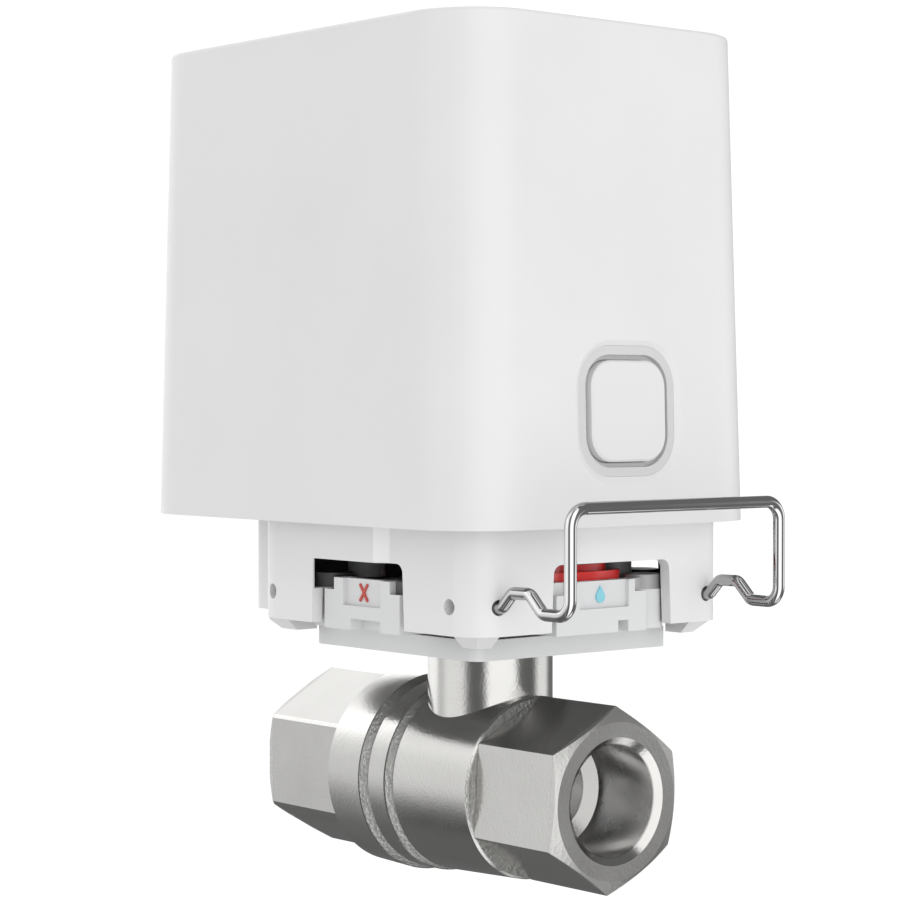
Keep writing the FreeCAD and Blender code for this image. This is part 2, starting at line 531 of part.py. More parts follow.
out("shaft_bush", rev_z([(SHAFT_R + STEM_FIT, FLOOR_Z0 - 0.5), (BUSH_R, FLOOR_Z0 - 0.5), (BUSH_R, FLOOR_Z1), (BUSH_R + 1.6, FLOOR_Z1), (BUSH_R + 1.6, FLOOR_Z1 + 1.2), (SHAFT_R + STEM_FIT, FLOOR_Z1 + 1.2)]))

# ---------------------------------------------------------------- cap


def inset(b, d):
    return (b[0] + d, b[1] - d, b[2] + d, b[3] - d)


def lerp_rect(z):
    t = (z - CAP_Z0) / (CAP_Z1 - CAP_Z0)
    return tuple(CAP_B[i] + (CAP_T[i] - CAP_B[i]) * t for i in range(4))


def cap_wire(z, d, r):
    b = inset(lerp_rect(z), d)
    return rrect(b[0], b[1], b[2], b[3], r, z)


outer_lo = Part.makeLoft([cap_wire(CAP_Z0, 0, CAP_R), cap_wire(CAP_Z1 - 0.5, 0, CAP_R)], True, True)
outer_hi = Part.makeLoft([cap_wire(CAP_Z1 - 0.5, 0, CAP_R), cap_wire(CAP_Z1 - 0.16, 0.16, CAP_R - 0.16), cap_wire(CAP_Z1, 0.5, CAP_R - 0.5)], True, True)
cap = outer_lo.fuse(outer_hi)
inner = Part.makeLoft([cap_wire(CAP_Z0 - 1, CAP_WALL, CAP_R - CAP_WALL), cap_wire(CAP_Z1 - CAP_ROOF, CAP_WALL, CAP_R - CAP_WALL)], True, True)
cap = cap.cut(inner)
# button opening with a dished surround
face_y = CAP_B[2] + (BTN_Z - CAP_Z0) / (CAP_Z1 - CAP_Z0) * (CAP_T[2] - CAP_B[2])
OPW, OPH, OPR = BTN_W + 2 * (BTN_GAP + BTN_RING), BTN_H + 2 * (BTN_GAP + BTN_RING), BTN_R + BTN_GAP + BTN_RING
DRAFT = math.degrees(math.atan2(CAP_T[2] - CAP_B[2], CAP_Z1 - CAP_Z0))


def tilt(s):
    """lean with the drafted face of the cap"""
    s = s.copy()
    s.rotate(V(0, face_y, BTN_Z), V(1, 0, 0), -DRAFT)
    return s


dish = Part.makeLoft([rrect_xz(BTN_X + 0.3, BTN_Z - 0.3, OPW + 3.6, OPH + 3.6, OPR + 1.8, face_y - 0.35), rrect_xz(BTN_X, BTN_Z, OPW, OPH, OPR, face_y + 0.45)], True, True)
cap = cap.cut(tilt(dish)).cut(tilt(rbox_xz(BTN_X, BTN_Z, OPW, OPH, OPR, face_y - 2, face_y + 6)))
# screw bosses tied to the walls
for (px, py) in BOSSES:
    b = cz(3.2, FLOOR_Z1 + 0.05, 57.0, px, py)
    sx = 1 if px > 0 else -1
    sy = -1 if py < 0 else 1
    web = box(min(px, px + sx * 7), max(px, px + sx * 7), py - 1.0, py + 1.0, FLOOR_Z1 + 0.05, 57.0)
    web2 = box(px - 1.0, px + 1.0, min(py, py + sy * 7), max(py, py + sy * 7), FLOOR_Z1 + 0.05, 57.0)
    webs = web.fuse(web2).common(Part.makeLoft([cap_wire(CAP_Z0 - 1, 1.2, CAP_R - 1.2), cap_wire(CAP_Z1 - 1.5, 1.2, CAP_R - 1.2)], True, True))
    cap = cap.fuse(b).fuse(webs)
for (px, py) in BOSSES:
    cap = cap.cut(cz(1.2, FLOOR_Z1 - 1, 55.5, px, py))
cap = cap.removeSplitter()
out("housing_cap", cap)
scr = [rev_z([(0, FLOOR_Z0 + 0.1), (2.3, FLOOR_Z0 + 0.1), (2.3, FLOOR_Z0 + 1.3), (1.2, FLOOR_Z0 + 1.3), (1.2, 55.0), (0, 55.0)], px, py) for (px, py) in BOSSES]
out("cap_screws", Part.makeCompound(scr))

# ---------------------------------------------------------------- button
pad = Part.makeLoft([rrect_xz(BTN_X, BTN_Z, BTN_W - 0.7, BTN_H - 0.7, BTN_R - 0.35, BTN_FACE_Y), rrect_xz(BTN_X, BTN_Z, BTN_W, BTN_H, BTN_R, BTN_FACE_Y + 0.35)], True, True)
pad = pad.fuse(rbox_xz(BTN_X, BTN_Z, BTN_W, BTN_H, BTN_R, BTN_FACE_Y + 0.35, -30.5))
btn = tilt(pad.removeSplitter())
btn = btn.fuse(rbox_xz(BTN_X, BTN_Z, BTN_W + 3.2, BTN_H + 3.2, BTN_R + 1.6, -30.85, -30.1))
btn = btn.fuse(cy(2.0, -30.2, -29.35, BTN_X, BTN_Z))
bf = btn.removeSplitter()
out("function_button", bf)
# soft ring round the button: a flat frame at the face, a thin web at the bottom of the groove
ring_f = rbox_xz(BTN_X, BTN_Z, OPW - 0.06, OPH - 0.06, OPR - 0.03, face_y + 0.47, -31.3)
ring_h = rbox_xz(BTN_X, BTN_Z, BTN_W + 2 * BTN_GAP, BTN_H + 2 * BTN_GAP, BTN_R + BTN_GAP, face_y - 1, face_y + 1.55)
ring_i = rbox_xz(BTN_X, BTN_Z, BTN_W + 0.3, BTN_H + 0.3, BTN_R + 0.15, face_y - 1, face_y + 5)
out("button_gasket", tilt(ring_f.cut(ring_h).cut(ring_i)))

# ---------------------------------------------------------------- release clip
wire_pts = [(-CLIP_X, 29.6, CLIP_Z), (-CLIP_X, -29.95, CLIP_Z), (-CLIP_X, -32.5, 35.4), (-CLIP_X, -36.6, 35.45), (-CLIP_X, -39.7, 32.45), (-CLIP_X, CLIP_HANDLE_Y, 32.45),
            (-CLIP_X, CLIP_HANDLE_Y, CLIP_TOP_Z), (CLIP_X, CLIP_HANDLE_Y, CLIP_TOP_Z),
            (CLIP_X, CLIP_HANDLE_Y, 32.45), (CLIP_X, -39.7, 32.45), (CLIP_X, -36.6, 35.45), (CLIP_X, -32.5, 35.4), (CLIP_X, -29.95, CLIP_Z), (CLIP_X, 29.6, CLIP_Z)]
rad = [1.5, 1.6, 1.6, 1.6, 2.6, 3.0, 3.0, 2.6, 1.6, 1.6, 1.6, 1.5]
path = fillet_path(wire_pts, rad)
prof = Part.Wire([Part.makeCircle(WIRE_R, V(-CLIP_X, 29.6, CLIP_Z), V(0, 1, 0))])
clip = path.makePipeShell([prof], True, False)
if clip.ShapeType != "Solid":
    clip = clip.Solids[0]
if clip.Volume < 0:
    clip.reverse()
out("release_clip", clip)

# ---------------------------------------------------------------- drive coupler, indicator, output gear, cam
sq = 2.87
coup = rev_z([(0, 33.0), (COUP_R - 0.4, 33.0), (COUP_R, 33.4), (COUP_R, 45.0), (SHAFT_R, 45.0), (SHAFT_R, 74.6), (SHAFT_R - 0.4, 75.0), (0, 75.0)])
coup = coup.cut(box(-sq, sq, -sq, sq, 32, 40.6))
out("drive_coupler", coup)
PTR_H = 10.0


def pointer(half, ytip, z0, z1, r=4.8):
    y0 = -math.sqrt(ytip * ytip - half * half)
    s = cz(ytip, z0, z1).common(box(-half, half, -ytip - 1, 0, z0 - 1, z1 + 1))
    s = s.makeFillet(r, [e for e in s.Edges if abs(e.BoundBox.ZLength - (z1 - z0)) < 1e-6 and abs(e.BoundBox.Center.y - y0) < 0.01 and e.BoundBox.XLength < 1e-6])
    return s


ind = fuse([cz(10.4, 35.1, 38.5), pointer(PTR_H, 25.4, 35.1, 37.4), pointer(PTR_H - 2.6, 23.6, 37.4, 38.5, 3.4)])
ind = ind.cut(cz(COUP_R, 34, 40))
out("position_indicator", ind)
BETA = math.atan2(IDL_Y, IDL_X)
og = gear(GEAR_M1, OUT_Z, OUT_GZ1 - OUT_GZ0, 0, 0, OUT_GZ0, BETA, 0, 0.12)
rim = rev_z([(9.0, OUT_GZ0 - 0.01), (16.6, OUT_GZ0 - 0.01), (16.6, OUT_GZ0 + 1.3), (9.0, OUT_GZ0 + 1.3)])
rim2 = rev_z([(9.0, OUT_GZ1 - 1.3), (16.6, OUT_GZ1 - 1.3), (16.6, OUT_GZ1 + 0.01), (9.0, OUT_GZ1 + 0.01)])
og = og.cut(rim).cut(rim2)
og = og.fuse(cz(8.0, OUT_GZ0 - 1.2, OUT_GZ1 + 1.0)).removeSplitter()
for i in range(6):
    a = math.radians(60 * i + 30)
    og = og.cut(cz(2.4, OUT_GZ0 - 2, OUT_GZ1 + 2, 12.8 * math.cos(a), 12.8 * math.sin(a)))
og = og.cut(cz(SHAFT_R, OUT_GZ0 - 3, OUT_GZ1 + 3))
out("output_gear", og)
cam = rev_z([(SHAFT_R, 69.6), (8.4, 69.6), (8.4, 72.6), (SHAFT_R, 72.6)])
lobe = cz(9.8, 69.6, 72.6).common(box(-2.6, 2.6, -12, 0, 60, 80)).cut(cz(7.0, 60, 80))
cam = fuse([cam, lobe])
out("switch_cam", cam)

# ---------------------------------------------------------------- idler and motor pinion
ip = gear(GEAR_M1, IDL_P, 59.0 - 51.2, IDL_X, IDL_Y, 51.2, BETA + math.pi + math.pi / IDL_P, 0, 0.12)
ig = gear(GEAR_M2, IDL_G, ST2_Z1 - ST2_Z0, IDL_X, IDL_Y, ST2_Z0, math.pi, 0, 0.10)
ig = ig.cut(rev_z([(5.6, ST2_Z1 - 1.6), (9.2, ST2_Z1 - 1.6), (9.2, ST2_Z1 + 1), (5.6, ST2_Z1 + 1)], IDL_X, IDL_Y))
idler = fuse([ip, ig, cz(3.4, 50.8, 64.8, IDL_X, IDL_Y)]).cut(cz(1.55, 50, 66, IDL_X, IDL_Y))
out("idler_gear", idler)
out("idler_axle", cz(1.5, FLOOR_Z0 + 0.8, UP_Z1, IDL_X, IDL_Y))
mp = gear(GEAR_M2, MOT_Z, ST2_Z1 - ST2_Z0 + 0.8, MOT_X, MOT_Y, ST2_Z0 - 0.4, math.pi / MOT_Z, 0, 0.10)
mp = mp.fuse(cz(2.6, ST2_Z1 + 0.4, 65.2, MOT_X, MOT_Y)).removeSplitter().cut(cz(1.0, 55, 66, MOT_X, MOT_Y))
out("motor_pinion", mp)
out("motor_shaft", cz(1.0, ST2_Z0 - 0.4, 72.0, MOT_X, MOT_Y))
MOT_R = 8.0
mot = rev_z([(0, UP_Z0 + 0.2), (3.0, UP_Z0 + 0.2), (3.0, UP_Z1), (MOT_R - 0.6, UP_Z1), (MOT_R, UP_Z1 + 0.6), (MOT_R, 95.4), (MOT_R - 0.8, 96.2), (2.6, 96.2), (2.6, 97.4), (0, 97.4)], MOT_X, MOT_Y)
mot = mot.cut(cz(1.05, 60, 73, MOT_X, MOT_Y))
for s1 in (-1, 1):
    mot = mot.cut(cz(0.8, 66, 71.5, MOT_X, MOT_Y + s1 * 5.6))
out("drive_motor", mot)
out("motor_screws", Part.makeCompound([rev_z([(0, 64.8), (1.5, 64.8), (1.5, UP_Z0), (0.8, UP_Z0), (0.8, 71.0), (0, 71.0)], MOT_X, MOT_Y + s1 * 5.6) for s1 in (-1, 1)]))

# ---------------------------------------------------------------- upper plate with its posts
up = rbox(-28.3, 29.3, -20.4, 33.2, 3.0, UP_Z0, UP_Z1)
up = up.cut(cz(SHAFT_R + STEM_FIT, 60, 70)).cut(cz(1.5, 60, 70, IDL_X, IDL_Y)).cut(cz(3.05, 60, 70, MOT_X, MOT_Y))
for s1 in (-1, 1):
    up = up.cut(cz(0.85, 60, 70, MOT_X, MOT_Y + s1 * 5.6))
for (px, py) in POSTS:
    up = up.cut(cz(1.25, 60, 70, px, py))
up = up.cut(rbox(-22, -8.5, 8, 26, 2.0, 60, 70))
out("gearbox_plate", up)
posts = []
for (px, py) in POSTS:
    posts.append(rev_z([(0, FLOOR_Z0 + 0.8), (1.25, FLOOR_Z0 + 0.8), (1.25, FLOOR_Z1), (2.4, FLOOR_Z1), (2.4, UP_Z0), (1.25, UP_Z0), (1.25, UP_Z1), (2.3, UP_Z1), (2.3, UP_Z1 + 1.4), (0, UP_Z1 + 1.4)], px, py))
out("gearbox_posts", Part.makeCompound(posts))

# ---------------------------------------------------------------- position switches on the upper plate
sw = []
for (sx, sy) in ((-1, 0), (0, -1)):
    if sx:
        b = box(-19.5, -12.6, -6.5, 6.5, UP_Z1, UP_Z1 + 6.0).fuse(box(-12.6, -10.9, -1.2, 1.2, UP_Z1 + 1.6, UP_Z1 + 3.6))
    else:
        b = box(-6.5, 6.5, -19.5, -12.6, UP_Z1, UP_Z1 + 6.0).fuse(box(-1.2, 1.2, -12.6, -10.9, UP_Z1 + 1.6, UP_Z1 + 3.6))
    sw.append(b.removeSplitter())
out("switch_closed", sw[0])
out("switch_open", sw[1])

# ---------------------------------------------------------------- main board, button switch, antenna
brd = box(-27.0, 27.0, -25.2, -23.6, 60.0, 116.0)
brd = brd.cut(cy(1.3, -26, -23, -23.5, 63.5)).cut(cy(1.3, -26, -23, 23.5, 63.5)).cut(cy(1.3, -26, -23, -23.5, 112.5)).cut(cy(1.3, -26, -23, 23.5, 112.5))
out("main_board", brd)
sbody = box(BTN_X - 3, BTN_X + 3, -27.4, -25.2, BTN_Z - 3, BTN_Z + 3).fuse(cy(1.7, -28.3, -27.4, BTN_X, BTN_Z)).removeSplitter()
out("button_switch", sbody)
# mounting lugs from the upper plate carry the board
lug = []
for s1 in (-1, 1):
    x0, x1 = sorted((s1 * 20.5, s1 * 26.5))
    l = box(x0, x1, -20.4, -18.95, UP_Z1, 76.0).fuse(box(x0, x1, -23.6, -20.4, 69.5, 76.0)).removeSplitter()
    lug.append(l)
out("board_brackets", Part.makeCompound(lug))
chips = [box(-16.0, -4.0, -23.6, -22.4, 88.0, 100.0), box(6.0, 14.0, -23.6, -21.9, 90.0, 98.0), box(-20.0, -14.0, -23.6, -21.6, 104.0, 110.0),
         cy(3.2, -23.6, -16.6, 19.0, 106.0), cy(2.5, -23.6, -18.0, 11.5, 107.0), box(-8.0, 2.0, -23.6, -20.0, 106.5, 111.5)]
out("board_components", Part.makeCompound(chips))
ant = fuse([box(-12.0, -11.0, -25.2, -23.6, 116.0, 121.0), box(-12.0, 14.0, -25.2, -23.6, 120.0, 121.0), box(13.0, 14.0, -25.2, -23.6, 117.5, 120.0), box(2.0, 14.0, -25.2, -23.6, 117.5, 118.5)])
out("antenna", ant)
out("status_light", rbox_xz(BTN_X + 9.0, 82.0, 3.0, 3.0, 0.8, -26.6, -25.2))

# ---------------------------------------------------------------- batteries
CELL_R, CELL_X, CELL_Y = 8.3, 9.3, 45.2
tray = rbox(-19.6, 19.6, 34.6, 55.0, 2.0, FLOOR_Z1, 122.6)
tray = tray.cut(box(-17.9, 17.9, 40.5, 56.0, 50.9, 121.2))
for s1 in (-1, 1):
    tray = tray.cut(cz(CELL_R + 0.15, 50.9, 121.2, s1 * CELL_X, CELL_Y))
tray = tray.cut(box(-15, 15, 33, 38, 56, 116))
tray = tray.removeSplitter()
out("battery_tray", tray)


def cell(sx, z0):
    return rev_z([(0, z0), (CELL_R - 0.5, z0), (CELL_R, z0 + 0.5), (CELL_R, z0 + 32.6), (CELL_R - 0.5, z0 + 33.1), (3.2, z0 + 33.1), (3.2, z0 + 33.9), (0, z0 + 33.9)], sx * CELL_X, CELL_Y)


Z_L, Z_U = 51.9, 86.3
out("cell_lower_left", cell(-1, Z_L))
out("cell_lower_right", cell(1, Z_L))
out("cell_upper_left", cell(-1, Z_U))
out("cell_upper_right", cell(1, Z_U))
out("contacts_lower", Part.makeCompound([box(s1 * CELL_X - 5, s1 * CELL_X + 5, CELL_Y - 5, CELL_Y + 5, 50.9, 51.3).fuse(rev_z([(2.0, 51.3), (5.0, 51.3), (3.6, 51.9), (2.6, 51.9)], s1 * CELL_X, CELL_Y)).removeSplitter() for s1 in (-1, 1)]))
out("contacts_middle", Part.makeCompound([cz(3.0, Z_L + 33.9, Z_U, s1 * CELL_X, CELL_Y) for s1 in (-1, 1)]))
out("contacts_upper", box(-CELL_X - 5, CELL_X + 5, CELL_Y - 4.5, CELL_Y + 4.5, Z_U + 33.9, 121.2))

# ---------------------------------------------------------------- stop posts under the chassis floor, beside the pointer
out("stop_post_open", rev_z([(0, 35.4), (3.2, 35.4), (3.2, FLOOR_Z0), (0, FLOOR_Z0)], 13.4, -16.6))
out("stop_post_closed", rev_z([(0, 35.4), (3.2, 35.4), (3.2, FLOOR_Z0), (0, FLOOR_Z0)], -16.6, 13.4))

print(len(NODES), "nodes")
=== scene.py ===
import json
import math

import bmesh
import bpy
from mathutils import Matrix, Vector

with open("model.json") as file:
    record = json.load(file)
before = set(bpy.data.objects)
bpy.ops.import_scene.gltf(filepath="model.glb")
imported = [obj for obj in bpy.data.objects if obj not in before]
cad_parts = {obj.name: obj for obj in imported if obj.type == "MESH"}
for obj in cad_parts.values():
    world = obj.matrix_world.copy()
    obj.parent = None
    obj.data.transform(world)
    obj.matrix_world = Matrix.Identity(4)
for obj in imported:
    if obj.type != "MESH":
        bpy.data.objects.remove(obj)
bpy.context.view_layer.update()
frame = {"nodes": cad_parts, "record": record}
NODES = frame["nodes"]
MM = 0.001


# ------------------------------------------------------------------ node helpers
class Mat:
    """A material with a Principled shader and short calls for its nodes."""

    def __init__(self, name, color, rough=0.4, metal=0.0, **extra):
        self.m = bpy.data.materials.new(name)
        self.m.use_nodes = True
        self.t = self.m.node_tree
        self.t.nodes.clear()
        self.out = self.t.nodes.new("ShaderNodeOutputMaterial")
        self.b = self.t.nodes.new("ShaderNodeBsdfPrincipled")
        self.t.links.new(self.b.outputs[0], self.out.inputs["Surface"])
        self.b.inputs["Base Color"].default_value = (*color, 1)
        self.b.inputs["Roughness"].default_value = rough
        self.b.inputs["Metallic"].default_value = metal
        for k, v in extra.items():
            self.b.inputs[k.replace("_", " ")].default_value = v
        self.co = self.t.nodes.new("ShaderNodeTexCoord").outputs["Object"]
        self.geo = self.t.nodes.new("ShaderNodeNewGeometry")
        self.normal = None

    def link(self, a, b):
        self.t.links.new(a, b)

    def mapping(self, scale=(1, 1, 1), loc=(0, 0, 0), rot=(0, 0, 0), src=None):
        n = self.t.nodes.new("ShaderNodeMapping")
        n.inputs["Scale"].default_value = scale
        n.inputs["Location"].default_value = loc
        n.inputs["Rotation"].default_value = rot
        self.link(src or self.co, n.inputs["Vector"])
        return n.outputs[0]

    def noise(self, scale, detail=3.0, rough=0.5, src=None, distortion=0.0):
        n = self.t.nodes.new("ShaderNodeTexNoise")
        n.inputs["Scale"].default_value = scale
        n.inputs["Detail"].default_value = detail
        n.inputs["Roughness"].default_value = rough
        n.inputs["Distortion"].default_value = distortion
        self.link(src or self.co, n.inputs["Vector"])
        return n.outputs["Fac"]

    def voronoi(self, scale, src=None, feature="F1"):
        n = self.t.nodes.new("ShaderNodeTexVoronoi")
        n.feature = feature
        n.inputs["Scale"].default_value = scale
        self.link(src or self.co, n.inputs["Vector"])
        return n.outputs["Distance"]

    def wave(self, scale, direction="Y", kind="BANDS", distortion=0.0, detail=2.0, src=None):
        n = self.t.nodes.new("ShaderNodeTexWave")
        n.wave_type = kind
        if kind == "BANDS":
            n.bands_direction = direction
        else:
            n.rings_direction = direction
        n.inputs["Scale"].default_value = scale
        n.inputs["Distortion"].default_value = distortion
        n.inputs["Detail"].default_value = detail
        self.link(src or self.co, n.inputs["Vector"])
        return n.outputs["Fac"]

    def ramp(self, fac, stops, interp="LINEAR"):
        n = self.t.nodes.new("ShaderNodeValToRGB")
        n.color_ramp.interpolation = interp
        e = n.color_ramp.elements
        while len(e) > 1:
            e.remove(e[-1])
        for i, (p, c) in enumerate(stops):
            if not isinstance(c, tuple):
                c = (c, c, c)
            if i == 0:
                e[0].position = p
                e[0].color = (*c, 1)
            else:
                el = e.new(p)
                el.color = (*c, 1)
        self.link(fac, n.inputs["Fac"])
        return n.outputs["Color"]

    def math(self, op, a, b=None, c=None, clamp=False):
        n = self.t.nodes.new("ShaderNodeMath")
        n.operation = op
        n.use_clamp = clamp
        for i, v in enumerate((a, b, c)):
            if v is None:
                continue
            if hasattr(v, "links"):
                self.link(v, n.inputs[i])
            else:
                n.inputs[i].default_value = v
        return n.outputs[0]

    def xyz(self, src=None):
        n = self.t.nodes.new("ShaderNodeSeparateXYZ")
        self.link(src or self.co, n.inputs[0])
        return n.outputs

    def mix(self, fac, a, b):
        n = self.t.nodes.new("ShaderNodeMix")
        n.data_type = "RGBA"
        if hasattr(fac, "links"):
            self.link(fac, n.inputs[0])
        else:
            n.inputs[0].default_value = fac
        for v, i in ((a, 6), (b, 7)):
            if hasattr(v, "links"):
                self.link(v, n.inputs[i])
            else:
                n.inputs[i].default_value = (*v, 1)
        return n.outputs[2]

    def rng(self, fac, a, b, lo=0.0, hi=1.0):
        n = self.t.nodes.new("ShaderNodeMapRange")
        n.inputs["From Min"].default_value = lo
        n.inputs["From Max"].default_value = hi
        n.inputs["To Min"].default_value = a
        n.inputs["To Max"].default_value = b
        self.link(fac, n.inputs["Value"])
        return n.outputs[0]

    def bump(self, height, strength=0.3, dist=0.00005):
        n = self.t.nodes.new("ShaderNodeBump")
        n.inputs["Strength"].default_value = strength
        n.inputs["Distance"].default_value = dist
        self.link(height, n.inputs["Height"])
        if self.normal is not None:
            self.link(self.normal, n.inputs["Normal"])
        self.normal = n.outputs[0]
        self.link(self.normal, self.b.inputs["Normal"])
        return self.normal

    def color(self, sock):
        self.link(sock, self.b.inputs["Base Color"])

    def rough(self, sock):
        self.link(sock, self.b.inputs["Roughness"])


def tint(c, k):
    return tuple(min(1.0, v * k) for v in c)


def plastic(name, color, rough=0.42, grain=2600.0, grain_h=0.000012, vary=0.02, spec=0.5, coat=0.0):
    """Moulded plastic: fine eroded grain, faint flow and shrink variation in colour and gloss."""
    m = Mat(name, color, rough)
    m.b.inputs["Specular IOR Level"].default_value = spec
    if coat:
        m.b.inputs["Coat Weight"].default_value = coat
        m.b.inputs["Coat Roughness"].default_value = 0.12
    broad = m.noise(28.0, 4.0, 0.55)
    m.color(m.ramp(broad, [(0.3, tint(color, 1 - vary)), (0.7, tint(color, 1 + vary))]))
    mid = m.noise(260.0, 3.0)
    m.rough(m.rng(m.math("MULTIPLY", broad, mid), rough - 0.05, rough + 0.07, 0.1, 0.5))
    fine = m.noise(grain, 2.0, 0.6)
    cell = m.voronoi(grain * 0.8)
    m.bump(m.math("ADD", fine, m.math("MULTIPLY", cell, 0.5)), 0.35, grain_h)
    return m


# ------------------------------------------------------------------ materials
M = {}
M["cap_plastic"] = plastic("cap_plastic", (0.80, 0.80, 0.80), 0.40)


def chassis(name, color):
    """White moulded skirt; the inside of the skirt is painted matt black as painted shade."""
    m = plastic(name, color, 0.44)
    x, y, z = m.xyz()
    ax, ay = m.math("ABSOLUTE", x), m.math("ABSOLUTE", y)
    half = m.math("ADD", 26.25 * MM, m.math("MULTIPLY", m.math("GREATER_THAN", y, 0.0), 1.47 * MM))
    # painted shade: mask of the skirt's inner walls, painted near-black
    inner_painted_shade = m.math("MULTIPLY", m.math("LESS_THAN", ax, half), m.math("MULTIPLY", m.math("GREATER_THAN", y, -27.15 * MM), m.math("LESS_THAN", y, 27.75 * MM)))
    inner_painted_shade = m.math("MULTIPLY", inner_painted_shade, m.math("MULTIPLY", m.math("GREATER_THAN", z, 28.5 * MM), m.math("LESS_THAN", z, 45.95 * MM)))
    foot = m.math("MULTIPLY", m.math("MULTIPLY", m.math("GREATER_THAN", ax, 21.3 * MM), m.math("GREATER_THAN", ay, 21.3 * MM)), m.math("LESS_THAN", z, 35.3 * MM))
    inner_painted_shade = m.math("MULTIPLY", inner_painted_shade, m.math("SUBTRACT", 1.0, foot))
    base = m.b.inputs["Base Color"].links[0].from_socket
    # painted light: the slanted step on each side is painted lighter
    step_painted_light = m.math("MULTIPLY", m.math("GREATER_THAN", ax, 28.25 * MM), m.math("MULTIPLY", m.math("GREATER_THAN", y, -7.75 * MM), m.math("LESS_THAN", y, -5.28 * MM)))
    base = m.mix(step_painted_light, base, (0.90, 0.90, 0.90))
    # painted light: the lower edge and the wall above the outlet's window are painted a touch lighter
    low_painted_light = m.rng(z, 1.0, 0.0, 31.0 * MM, 42.0 * MM)
    base = m.mix(m.math("MULTIPLY", low_painted_light, m.math("SUBTRACT", 1.0, step_painted_light)), base, (0.825, 0.825, 0.825))
    # painted light on the wall above the outlet's window
    over_painted_light = m.math("MULTIPLY", m.rng(x, 0.0, 1.0, -12.0 * MM, -3.0 * MM), m.math("LESS_THAN", y, -25.0 * MM))
    over_painted_light = m.math("MULTIPLY", over_painted_light, m.rng(z, 0.0, 1.0, 31.0 * MM, 39.0 * MM))
    base = m.mix(over_painted_light, base, (0.865, 0.865, 0.865))
    m.color(m.mix(inner_painted_shade, base, (0.018, 0.018, 0.019)))
    return m


M["chassis_plastic"] = chassis("chassis_plastic", (0.78, 0.78, 0.785))


def holder(name, color):
    """Pale grey carrier; the catches behind the tabs, above the shoulders, are painted darker as painted shade."""
    m = plastic(name, color, 0.46)
    x, y, z = m.xyz()
    ax, ay = m.math("ABSOLUTE", x), m.math("ABSOLUTE", y)
    up = m.math("MULTIPLY", m.math("GREATER_THAN", z, 33.97 * MM), m.math("GREATER_THAN", ay, 7.52 * MM))
    left_catch_shade = m.math("MULTIPLY", up, m.math("LESS_THAN", x, -18.0 * MM))
    right_catch_shade = m.math("MULTIPLY", up, m.math("GREATER_THAN", x, 18.0 * MM))
    base = m.b.inputs["Base Color"].links[0].from_socket
    # painted shade: the catches on the left and right sides are painted dark
    base = m.mix(left_catch_shade, base, (0.11, 0.11, 0.112))
    base = m.mix(right_catch_shade, base, (0.02, 0.02, 0.02))
    # painted shade: the catch beside the outlet's tab is painted darker towards the right
    catch_shade = m.math("MULTIPLY", m.math("MULTIPLY", m.math("GREATER_THAN", z, 33.97 * MM), m.math("LESS_THAN", y, -19.0 * MM)), m.math("GREATER_THAN", x, 7.52 * MM))
    shade = m.ramp(m.rng(x, 0.0, 1.0, 9.5 * MM, 16.0 * MM), [(0.0, 0.55), (0.45, 0.42), (0.85, 0.10), (1.0, 0.05)])
    base = m.mix(catch_shade, base, shade)
    m.color(base)
    return m


M["holder_plastic"] = holder("holder_plastic", (0.74, 0.745, 0.75))
M["button_plastic"] = plastic("button_plastic", (0.80, 0.80, 0.80), 0.38)
M["grey_elastomer"] = plastic("grey_elastomer", (0.66, 0.66, 0.66), 0.55, 1800.0, 0.00001, 0.03, 0.4)
M["seal_rubber"] = plastic("seal_rubber", (0.02, 0.02, 0.022), 0.55, 1500.0, 0.00002, 0.15, 0.4)
M["bush_plastic"] = plastic("bush_plastic", (0.03, 0.03, 0.033), 0.45, 2000.0, 0.00001, 0.1)
M["plate_plastic"] = plastic("plate_plastic", (0.55, 0.55, 0.53), 0.5, 1800.0, 0.00003, 0.05)
M["switch_plastic"] = plastic("switch_plastic", (0.018, 0.018, 0.02), 0.4, 2200.0, 0.00001, 0.1)
M["component_black"] = plastic("component_black", (0.015, 0.015, 0.016), 0.5, 3000.0, 0.00001, 0.15)
M["tray_plastic"] = plastic("tray_plastic", (0.03, 0.03, 0.033), 0.5, 1900.0, 0.00002, 0.1)
M["grey_post"] = plastic("grey_post", (0.30, 0.31, 0.32), 0.42, 2000.0, 0.00001, 0.05)
M["coupler_plastic"] = plastic("coupler_plastic", (0.012, 0.012, 0.014), 0.42, 2000.0, 0.00001, 0.1)
M["gear_plastic"] = plastic("gear_plastic", (0.72, 0.71, 0.66), 0.38, 2400.0, 0.000008, 0.03)
M["ptfe"] = plastic("ptfe", (0.80, 0.80, 0.78), 0.35, 1500.0, 0.000006, 0.03)
M["indicator_red"] = plastic("indicator_red", (0.90, 0.032, 0.028), 0.26, 2400.0, 0.000008, 0.05, 0.5, 0.6)
M["red_mark"] = plastic("red_mark", (0.58, 0.085, 0.065), 0.4, 2600.0, 0.000006, 0.08)
M["blue_mark"] = plastic("blue_mark", (0.28, 0.68, 0.80), 0.4, 2600.0, 0.000006, 0.08)
M["light_lens"] = plastic("light_lens", (0.75, 0.80, 0.75), 0.2, 2600.0, 0.000004, 0.02)


def metal(name, color, rough=0.2, vary=0.05, marks=0.0, direction="Y", mscale=900.0, grain_h=0.000006, smear=None):
    m = Mat(name, color, rough, 1.0)
    broad = m.noise(55.0, 5.0, 0.6)
    m.color(m.ramp(broad, [(0.25, tint(color, 1 - vary)), (0.75, tint(color, 1 + vary))]))
    cloud = m.noise(180.0, 4.0, 0.6)
    m.rough(m.rng(cloud, max(0.02, rough - 0.05), rough + 0.08, 0.3, 0.7))
    fine = m.noise(1800.0, 3.0, 0.6)
    m.bump(fine, 0.25, grain_h)
    if marks:
        w = m.wave(mscale, direction, distortion=1.5, detail=3.0)
        m.bump(w, marks, 0.000004)
    return m


